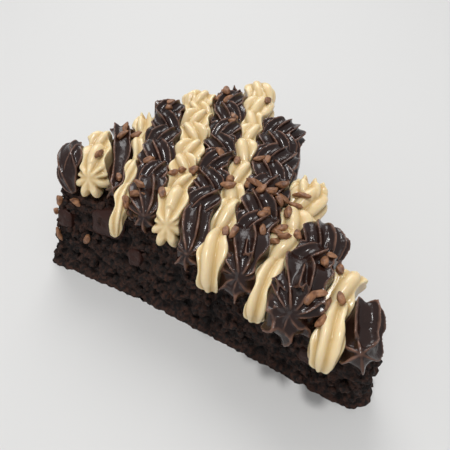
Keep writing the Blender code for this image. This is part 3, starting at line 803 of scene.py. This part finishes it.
def wall_directions():
    """Directions from the middle that meet the slice's foot at equal steps."""
    angles = np.linspace(0, 2 * math.pi, FOOT_SAMPLES, endpoint=False)
    directions = np.column_stack([np.sin(angles), -np.cos(angles)])
    foot = wall_ring(directions, 0.0)
    run = np.cumsum(norm(np.diff(foot, axis=0, append=foot[:1]), axis=1))
    return directions[np.searchsorted(run, np.linspace(0, run[-1], WALL_STEPS, endpoint=False))]


def slice_rings(summit):
    """Rings of points up the walls, then inwards over the top to just short of its summit."""
    directions = wall_directions()
    rings = [wall_ring(directions, share) for share in np.linspace(0, 1, WALL_RINGS)]
    rim = rings[-1].copy()
    for share in np.linspace(*TOP_SHARES, TOP_RINGS):
        ring = summit + (rim - summit) * share
        ring[:, 2] = top_height(ring[:, 1]) - TOP_SINK
        rings.append(ring)
    return rings


def roughness_at(level):
    """How much of its crumb a ring shows: less at the foot and on the top, under the icing."""
    if level < WALL_RINGS - 3:
        return min(FOOT_ROUGHNESS + ROUGHNESS_RISE * level, 1.0)
    return TOP_ROUGHNESS


def bake_slice(material):
    summit = np.array([*MIDDLE, top_height(MIDDLE[1])])
    rings = slice_rings(summit)
    dents = []
    for level, ring in enumerate(rings):
        dents.extend(crumbled(ring, roughness_at(level), level == 0))
    points = [tuple(spot) for ring in rings for spot in ring]
    points += [(*MIDDLE, 0.0), (*MIDDLE, summit[2] - SUMMIT_SINK)]
    foot_middle, top_middle = len(points) - 2, len(points) - 1
    top_start = (len(rings) - 1) * WALL_STEPS
    faces = []
    for step in range(WALL_STEPS):
        other = (step + 1) % WALL_STEPS
        for base in range(0, top_start, WALL_STEPS):
            above = base + WALL_STEPS
            faces.append((base + step, base + other, above + other, above + step))
        faces.append((foot_middle, other, step))
        faces.append((top_middle, top_start + step, top_start + other))
    mesh = mesh_from("baked_brownie", np.array(points), faces)
    wall = np.zeros(len(points))
    wall[WALL_STEPS * BARE_RINGS : WALL_STEPS * (WALL_RINGS + 2)] = 1.0
    store(mesh, "wall", wall)
    # How deep each point was dented: the crumb's finish paints shade into the deepest pits from it.
    store(mesh, "pit", [*dents, 0.0, 0.0])
    return dress(add_object("baked_brownie", mesh), material)


# ---- chunks in the sides


def wall_frame(side, place, height):
    """The spot where a side of the slice stands at a height, and its directions."""
    outward = {"left": (-1.0, 0.0), "right": (1.0, 0.0), "back": (0.0, 1.0)}[side]
    middle = (place, 0.0) if side == "back" else (0.0, place)
    reach = np.linspace(0, 90, 3601)
    line = np.column_stack([np.outer(reach, outward) + middle, np.full(len(reach), height)])
    spot = line[np.argmax(envelope(line) > 0)]
    normal = envelope_slope(spot[None])[0]
    normal /= norm(normal)
    level = np.cross((0, 0, 1.0), normal)
    level /= norm(level)
    return spot, level, normal, np.cross(normal, level)


def break_chunk(number, chunk, material):
    """A broken block of chocolate with rounded corners and a chipped face."""
    side, place, height, (length, tall, depth) = chunk
    spot, level, normal, upward = wall_frame(side, place, height)
    work = bmesh.new()
    bmesh.ops.create_icosphere(work, subdivisions=5, radius=1.0)
    half = np.array([length, tall, depth]) / 2
    for vert in work.verts:
        way = np.array(vert.co)
        block = way / (np.abs(way) ** CHUNK_SQUARENESS).sum() ** (1 / CHUNK_SQUARENESS)
        swell = 1 + CHUNK_UNEVENNESS * noise(Vector(way * 1.3 + number * 3.7))
        local = block * (half * swell)
        local[1] += CHUNK_SKEW * local[0]
        (coarse, deep), (fine, shallow) = CHUNK_CHIPS
        chip = deep * noise(Vector(local / coarse + number)) + shallow * noise(Vector(local / fine))
        out = min(local[2], half[2] * 1.02) - CHUNK_SINK * half[2] + chip * max(0.0, way[2])
        vert.co = (spot + normal * out + level * local[0] + upward * local[1]) * MM
    name = f"broken_chunk_{number}"
    return dress(add_object(name, mesh_of(work, name)), material)


# ---- node trees


def add_node(tree, kind, inputs=None, **settings):
    """Adds a node. inputs maps a socket's name or place to a value, or to the socket that feeds it."""
    node = tree.nodes.new(kind)
    for name, value in settings.items():
        setattr(node, name, value)
    for key, value in (inputs or {}).items():
        if isinstance(value, bpy.types.NodeSocket):
            tree.links.new(value, node.inputs[key])
        else:
            node.inputs[key].default_value = value
    return node


def math_node(tree, operation, one, two):
    return add_node(tree, "ShaderNodeMath", {0: one, 1: two}, operation=operation).outputs[0]


def remap(tree, value, low, high, to_low=0.0, to_high=1.0):
    inputs = {"Value": value, "From Min": low, "From Max": high, "To Min": to_low, "To Max": to_high}
    return add_node(tree, "ShaderNodeMapRange", inputs).outputs[0]


def new_geometry_tree(name, **sockets):
    """A tree with these inputs besides the geometry, each named with its kind of socket."""
    tree = bpy.data.node_groups.new(name, "GeometryNodeTree")
    for key, kind in {"Geometry": "Geometry", **sockets}.items():
        tree.interface.new_socket(key, in_out="INPUT", socket_type=f"NodeSocket{kind}")
    tree.interface.new_socket("Geometry", in_out="OUTPUT", socket_type="NodeSocketGeometry")
    return tree


def run_tree(obj, tree, values):
    """Gives an object what the tree makes of it, as a plain mesh."""
    modifier = obj.modifiers.new(tree.name, "NODES")
    modifier.node_group = tree
    for item in tree.interface.items_tree:
        if item.in_out == "INPUT" and item.name in values:
            modifier[item.identifier] = values[item.name]
    return settled(obj)


def read_attribute(tree, name, kind="FLOAT"):
    node = add_node(tree, "GeometryNodeInputNamedAttribute", {"Name": name}, data_type=kind)
    return node.outputs[0]


def lay_copies(tree, points, shapes, material, inputs):
    """Lays one of a collection's shapes on each point, as real faces in one material."""
    kinds = add_node(
        tree, "GeometryNodeCollectionInfo",
        {"Collection": shapes, "Separate Children": True, "Reset Children": True},
    )
    laid = add_node(
        tree, "GeometryNodeInstanceOnPoints",
        {"Points": points, "Instance": kinds.outputs[0], "Pick Instance": True, **inputs},
    )
    real = add_node(tree, "GeometryNodeRealizeInstances", {"Geometry": laid.outputs[0]})
    finish = {"Geometry": real.outputs[0], "Material": material}
    dressed = add_node(tree, "GeometryNodeSetMaterial", finish)
    add_node(tree, "NodeGroupOutput", {"Geometry": dressed.outputs[0]})


def nib_tree():
    """Lays a chip on each point, of the shape, turn and size that the point stores."""
    tree = new_geometry_tree("lay_nibs", Chips="Collection", Finish="Material")
    given = add_node(tree, "NodeGroupInput").outputs
    own = {
        "Instance Index": read_attribute(tree, "shape", "INT"),
        "Rotation": read_attribute(tree, "turn", "FLOAT_VECTOR"),
        "Scale": read_attribute(tree, "size", "FLOAT_VECTOR"),
    }
    lay_copies(tree, given["Geometry"], given["Chips"], given["Finish"], own)
    return tree


def crumb_tree():
    """Scatters small lumps over the torn sides."""
    tree = new_geometry_tree(
        "scatter_crumbs", Grains="Collection", Density="Float", Smallest="Float", Largest="Float",
        Seed="Int", Finish="Material",
    )
    given = add_node(tree, "NodeGroupInput").outputs
    density = math_node(tree, "MULTIPLY", read_attribute(tree, "wall"), given["Density"])
    spots = add_node(
        tree, "GeometryNodeDistributePointsOnFaces",
        {"Mesh": given["Geometry"], "Density": density, "Seed": given["Seed"]},
    )
    any_turn = {"Max": (FULL_TURN,) * 3}
    turn = add_node(tree, "FunctionNodeRandomValue", any_turn, data_type="FLOAT_VECTOR")
    share = add_node(tree, "FunctionNodeRandomValue", {"Seed": 3}, data_type="FLOAT")
    small_first = math_node(tree, "POWER", share.outputs["Value"], SMALL_CRUMBS_FIRST)
    size = remap(tree, small_first, 0.0, 1.0, given["Smallest"], given["Largest"])
    own = {"Rotation": turn.outputs[0], "Scale": size}
    lay_copies(tree, spots.outputs["Points"], given["Grains"], given["Finish"], own)
    return tree


# ---- nibs and crumbs


def chip_reach(way, facets):
    """How far a chip's flat faces stand from its middle in one direction, its edges worn."""
    near = (np.maximum(facets @ way, 0) ** CHIP_SHARPNESS).sum()
    return (near + CHIP_ROUNDING**CHIP_SHARPNESS) ** (-1 / CHIP_SHARPNESS)


def lump_collection(name, count, sides, roughness, radius, broken=False):
    """A hidden set of lumps that the trees lay: pebbles, or broken ones with flat faces."""
    lumps = bpy.data.collections.new(name)
    rng = np.random.default_rng(3)
    for number in range(count):
        facets = rng.normal(size=(CHIP_FACETS, 3))
        facets *= rng.uniform(*CHIP_REACH, (CHIP_FACETS, 1)) / norm(facets, axis=1, keepdims=True)
        work = bmesh.new()
        bmesh.ops.create_uvsphere(work, u_segments=sides, v_segments=sides * 3 // 4, radius=radius)
        for vert in work.verts:
            way = vert.co.normalized()
            bulge = noise(way * 1.3 + Vector((number * 5.1, 0, 0)))
            dent = noise(way * 3.1 + Vector((0, number * 4.3, 0)))
            vert.co *= 1 + roughness * (bulge + 0.45 * dent)
            if broken:
                vert.co *= chip_reach(np.array(way), facets)
        mesh = mesh_of(work, f"{name}_{number}")
        mesh.shade_smooth()
        lumps.objects.link(bpy.data.objects.new(f"{name}_{number}", mesh))
    return lumps


def bvh_of(mesh):
    places = [vert.co.copy() for vert in mesh.vertices]
    return BVHTree.FromPolygons(places, [tuple(face.vertices) for face in mesh.polygons])


def nib_specs():
    """Every nib that is dropped: its spot, size, heading and a number that picks its shape."""
    rng = np.random.default_rng(12)
    for middle, spread, count in SCATTERS:
        for _ in range(count):
            spot = np.array(middle) + rng.normal(0, spread / 2, 2)
            length, width, height = (rng.uniform(*span) for span in (NIB_LENGTH, NIB_WIDTH, NIB_WIDTH))
            size = np.array([length, width, NIB_FLATNESS * height])
            yield spot, size, rng.uniform(0, math.pi), int(rng.integers(1000))


def landing(spot, trees):
    """The row that a nib dropped at spot lands on, with the place and the surface's normal."""
    hits = []
    for index, tree in enumerate(trees):
        above = Vector((spot[0] * MM, spot[1] * MM, 90 * MM))
        place, normal, _, _ = tree.ray_cast(above, Vector((0, 0, -1)))
        if place is not None:
            hits.append((place.z, index, place, normal))
    return max(hits, key=lambda hit: hit[0])[1:] if hits else None


def reaches_other_rows(centre, radius, index, trees):
    others = trees[:index] + trees[index + 1 :]
    return any(tree.find_nearest(centre, radius)[0] is not None for tree in others)


def turn_to(along, normal):
    """The turn that lays a thing's length and its upper side in these directions."""
    return Matrix((along, normal.cross(along), normal)).transposed().to_euler()


def lie(normal, heading):
    """The turn of something that lies flat on a surface, with its length along a heading."""
    along = Vector((math.cos(heading), math.sin(heading), 0))
    return turn_to((along - normal * along.dot(normal)).normalized(), normal)


def stand(normal, upward, lean):
    """The turn of something pressed against a wall, with its length leaning from upright."""
    along = upward * math.cos(lean) + upward.cross(normal) * math.sin(lean)
    return turn_to(along.normalized(), normal)


def drop_nibs(rows):
    """Each nib on the row under it, clear of the other rows, as (place, turn, half size, shape)."""
    trees = [bvh_of(row.data) for row in rows]
    laid = []
    for spot, size, heading, seed in sorted(nib_specs(), key=lambda spec: -spec[1][0]):
        for attempt in range(NIB_TRIES):
            found = landing(spot, trees)
            if not found:
                break
            index, place, normal = found
            normal = (normal + Vector((0, 0, NIB_UPRIGHTNESS))).normalized()
            centre = place + normal * size[2] * (0.5 - NIB_SINK) * MM
            if any((centre - other[0]).length < NIB_SPACING * size[0] * MM for other in laid):
                turn = NIB_STEP_TURN * attempt
                spot = spot + NIB_STEP * np.array([math.cos(turn), math.sin(turn)])
                continue
            if not reaches_other_rows(centre, (size[1] / 2 + NIB_GAP) * MM, index, trees):
                laid.append((centre, lie(normal, heading), size / 2 * MM, seed % NIB_SHAPES))
                break
            start, _, across, _ = row_axes(ROWS[index])
            spot = spot - NIB_RETREAT * across * float((spot - start) @ across)
    return laid


def stick_nibs():
    """The nibs on the torn sides, in the same form."""
    laid = []
    for number, (side, place, height) in enumerate(SIDE_NIBS):
        spot, _, normal, upward = wall_frame(side, place, height)
        centre = Vector((spot - SIDE_NIB_SINK * normal) * MM)
        turn = stand(Vector(normal), Vector(upward), SIDE_NIB_LEAN * number)
        laid.append((centre, turn, np.array(SIDE_NIB_HALF) * MM, number % NIB_SHAPES))
    return laid


def strew_nibs(rows, material):
    places, turns, sizes, shapes = zip(*drop_nibs(rows), *stick_nibs())
    spots = bpy.data.meshes.new("chopped_nibs")
    spots.from_pydata(places, [], [])
    store(spots, "turn", [tuple(turn) for turn in turns], "FLOAT_VECTOR")
    store(spots, "size", sizes, "FLOAT_VECTOR")
    store(spots, "shape", shapes, "INT")
    nibs = add_object("chopped_nibs", spots)
    chips = lump_collection("chip", NIB_SHAPES, 24, 0.12, 1.0, True)
    run_tree(nibs, nib_tree(), {"Chips": chips, "Finish": material})
    bpy.data.batch_remove([*chips.objects, chips])
    return nibs


def strew_crumbs(slice_obj, material):
    crumbs = add_object("loose_crumbs", slice_obj.data)
    grains = lump_collection("grain", 6, 8, 0.6, MM)
    values = {
        "Grains": grains, "Density": CRUMBS_PER_CM2 * 1e4, "Seed": 5, "Finish": material,
        "Smallest": CRUMB_GRAINS[0], "Largest": CRUMB_GRAINS[1],
    }
    run_tree(crumbs, crumb_tree(), values)
    bpy.data.batch_remove([*grains.objects, grains])
    return crumbs


# ---- finishes


def linear(hex_code):
    """An sRGB hex colour as linear RGBA."""
    channels = [int(hex_code[i : i + 2], 16) / 255 for i in (1, 3, 5)]
    return (*[c / 12.92 if c <= 0.04045 else ((c + 0.055) / 1.055) ** 2.4 for c in channels], 1.0)


def new_material(name, **values):
    """A new material's tree and shader, with these inputs of the shader set."""
    material = bpy.data.materials.new(name)
    material.use_nodes = True
    shader = material.node_tree.nodes["Principled BSDF"]
    for key, value in values.items():
        shader.inputs[key.replace("_", " ")].default_value = value
    return material, material.node_tree, shader


def noise_field(tree, size_mm, detail):
    """Noise whose features have a real size."""
    place = add_node(tree, "ShaderNodeTexCoord").outputs["Object"]
    inputs = {"Vector": place, "Scale": 1 / (size_mm * MM), "Detail": detail}
    return add_node(tree, "ShaderNodeTexNoise", inputs).outputs[0]


def stored(tree, name):
    return add_node(tree, "ShaderNodeAttribute", attribute_name=name).outputs["Fac"]


def blend(tree, factor, one, two):
    """Goes from colour one to colour two as the factor grows."""
    inputs = {"Factor": factor, "A": one, "B": two}
    return add_node(tree, "ShaderNodeMix", inputs, data_type="RGBA").outputs["Result"]


def two_tones(tree, factor, dark, dark_until, light, light_from):
    """A colour ramp between two tones."""
    tint = add_node(tree, "ShaderNodeValToRGB", {"Fac": factor})
    first, last = tint.color_ramp.elements
    first.position, first.color = dark_until, dark
    last.position, last.color = light_from, light
    return tint.outputs[0]


def finish(tree, shader, colour, height, strength, depth_mm):
    """Gives a shader its colour, and a relief of this depth."""
    relief = {"Height": height, "Strength": strength, "Distance": depth_mm * MM}
    bump = add_node(tree, "ShaderNodeBump", relief)
    tree.links.new(colour, shader.inputs["Base Color"])
    tree.links.new(bump.outputs[0], shader.inputs["Normal"])


def chocolate_buttercream():
    """Dark buttercream, beaten smooth and piped: a wet gloss, with a painted highlight of lighter
    brown along its crests.
    """
    material, tree, shader = new_material("chocolate_buttercream", IOR=1.46, Specular_IOR_Level=0.48)
    patches = noise_field(tree, 5, 3)
    body = blend(tree, patches, linear("#1b0e0b"), linear("#301c16"))
    # Painted highlight: the crests are painted a lighter brown where they would catch the light, and
    # the noise fades this line here and there.
    crest = remap(tree, stored(tree, "crest"), 0.58, 1.0)
    kept = remap(tree, noise_field(tree, 4, 2), 0.38, 0.62, 0.45, 1.0)
    crest_highlight = math_node(tree, "MULTIPLY", crest, kept)
    colour = blend(tree, crest_highlight, body, linear("#785646"))
    torn = remap(tree, noise_field(tree, 6, 1), 0.42, 0.62, 0.15, 1.0)
    bubbles = math_node(tree, "MULTIPLY", noise_field(tree, 0.9, 3), torn)
    finish(tree, shader, colour, bubbles, 1.0, 0.22)
    tree.links.new(remap(tree, patches, 0.0, 1.0, 0.1, 0.28), shader.inputs["Roughness"])
    return material


def cream_buttercream():
    """Pale butter and sugar cream: a satin gloss and a little light inside, with painted shade in its
    creases and painted highlights on its crests.
    """
    material, tree, shader = new_material(
        "cream_buttercream", Roughness=0.24, IOR=1.46, Subsurface_Weight=0.35,
        Subsurface_Radius=(1.0, 0.7, 0.35), Subsurface_Scale=2.5 * MM,
    )
    body = blend(tree, noise_field(tree, 7, 2), linear("#dec089"), linear("#ebd3a6"))
    # Painted shade and highlight: the creases are painted a deeper yellow and the crests a paler
    # cream, and this is mixed half and half with the body's colour.
    crest = remap(tree, stored(tree, "crest"), 0.2, 0.9)
    relief = blend(tree, crest, linear("#b9944c"), linear("#f4e1bb"))
    finish(tree, shader, blend(tree, 0.5, body, relief), noise_field(tree, 1.0, 2), 0.35, 0.1)
    return material


def dark_crumb():
    """Baked cocoa crumb, torn by the knife: matt, nearly black and browner in its drier spots, with
    shade painted into its deepest dents.
    """
    material, tree, shader = new_material("dark_crumb", Roughness=0.78, Specular_IOR_Level=0.35)
    tint = two_tones(tree, noise_field(tree, 1.4, 5), linear("#110a08"), 0.38, linear("#44291e"), 0.66)
    # Painted shade: the deeper a point was dented, the nearer its colour is painted to black.
    shade = remap(tree, stored(tree, "pit"), 1.4, 3.4, 0.0, 0.85)
    colour = blend(tree, shade, tint, linear("#080504"))
    finish(tree, shader, colour, noise_field(tree, 0.7, 6), 1.0, 0.5)
    return material


def broken_chocolate():
    """Dark chocolate, broken by hand: satin, with a finely chipped face."""
    material, tree, shader = new_material("broken_chocolate", Roughness=0.5, Specular_IOR_Level=0.25)
    colour = blend(tree, noise_field(tree, 2.5, 4), linear("#24110d"), linear("#3f221a"))
    finish(tree, shader, colour, noise_field(tree, 1.2, 3), 0.4, 0.2)
    return material


def toasted_nib():
    """Chopped and toasted nibs: matt milk brown, darker in their pits."""
    material, tree, shader = new_material("toasted_nib", Roughness=0.5)
    patches = noise_field(tree, 1.6, 4)
    colour = two_tones(tree, patches, linear("#5e3a26"), 0.32, linear("#a2714c"), 0.68)
    finish(tree, shader, colour, noise_field(tree, 0.5, 3), 0.6, 0.15)
    return material


# ---- floor, light and camera


def lay_floor():
    half = FLOOR_SIZE / 2
    corners = half * np.array([(-1, -1, 0), (1, -1, 0), (1, 1, 0), (-1, 1, 0)])
    floor = add_object("floor", mesh_from("floor", corners, [(0, 1, 2, 3)]))
    paper = new_material("matt_paper", Base_Color=linear("#d9d8d6"), Roughness=0.9)[0]
    dress(floor, paper)


def aim(obj, place, target):
    obj.location = Vector(place) * MM
    direction = Vector(target) * MM - obj.location
    obj.rotation_euler = direction.to_track_quat("-Z", "Y").to_euler()


def add_lamp(name, place, size, power):
    lamp = bpy.data.lights.new(name, "AREA")
    lamp.shape = "DISK"
    lamp.size = size * MM
    lamp.energy = power
    aim(add_object(name, lamp), place, LAMP_AIM)


def set_light_and_camera():
    scene = bpy.context.scene
    scene.world = bpy.data.worlds.new("soft_room")
    scene.world.use_nodes = True
    background = scene.world.node_tree.nodes["Background"]
    background.inputs["Color"].default_value = linear("#f2f4f7")
    background.inputs["Strength"].default_value = 0.5
    add_lamp("window", (370, 620, 760), 600, 4.3)
    add_lamp("ceiling", (-60, -40, 700), 90, 1.9)
    add_lamp("bounce", (-520, -200, 260), 400, 0.3)
    lens = bpy.data.cameras.new("camera")
    lens.lens = 36
    lens.clip_start = 0.01
    scene.camera = add_object("camera", lens)
    aim(scene.camera, CAMERA_PLACE, CAMERA_AIM)
    scene.view_settings.view_transform = "Standard"


# ---- the slice


def carry(piece, slot, *nodes):
    """Puts a piece on the part and hides the nodes that it stands for. The slot is not used."""
    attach(piece, "root")
    if nodes:
        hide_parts(*nodes)


def main():
    icing = {"chocolate": chocolate_buttercream(), "cream": cream_buttercream()}
    rows = []
    for index, row in enumerate(ROWS):
        kind, number = row[0], index // 2 + 1
        rows.append(pipe_row(index, f"piped_{kind}_{number}", icing[kind]))
        carry(rows[-1], f"{kind}_icing", f"{kind}_row_{number}")
    crumb = dark_crumb()
    baked = bake_slice(crumb)
    carry(strew_crumbs(baked, crumb), "brownie_crumb")
    carry(baked, "brownie_crumb", "brownie")
    broken = broken_chocolate()
    for number, chunk in enumerate(CHUNKS, 1):
        carry(break_chunk(number, chunk, broken), "solid_chocolate", f"chocolate_chunk_{number}")
    carry(strew_nibs(rows, toasted_nib()), "solid_chocolate")
    lay_floor()
    set_light_and_camera()


main()
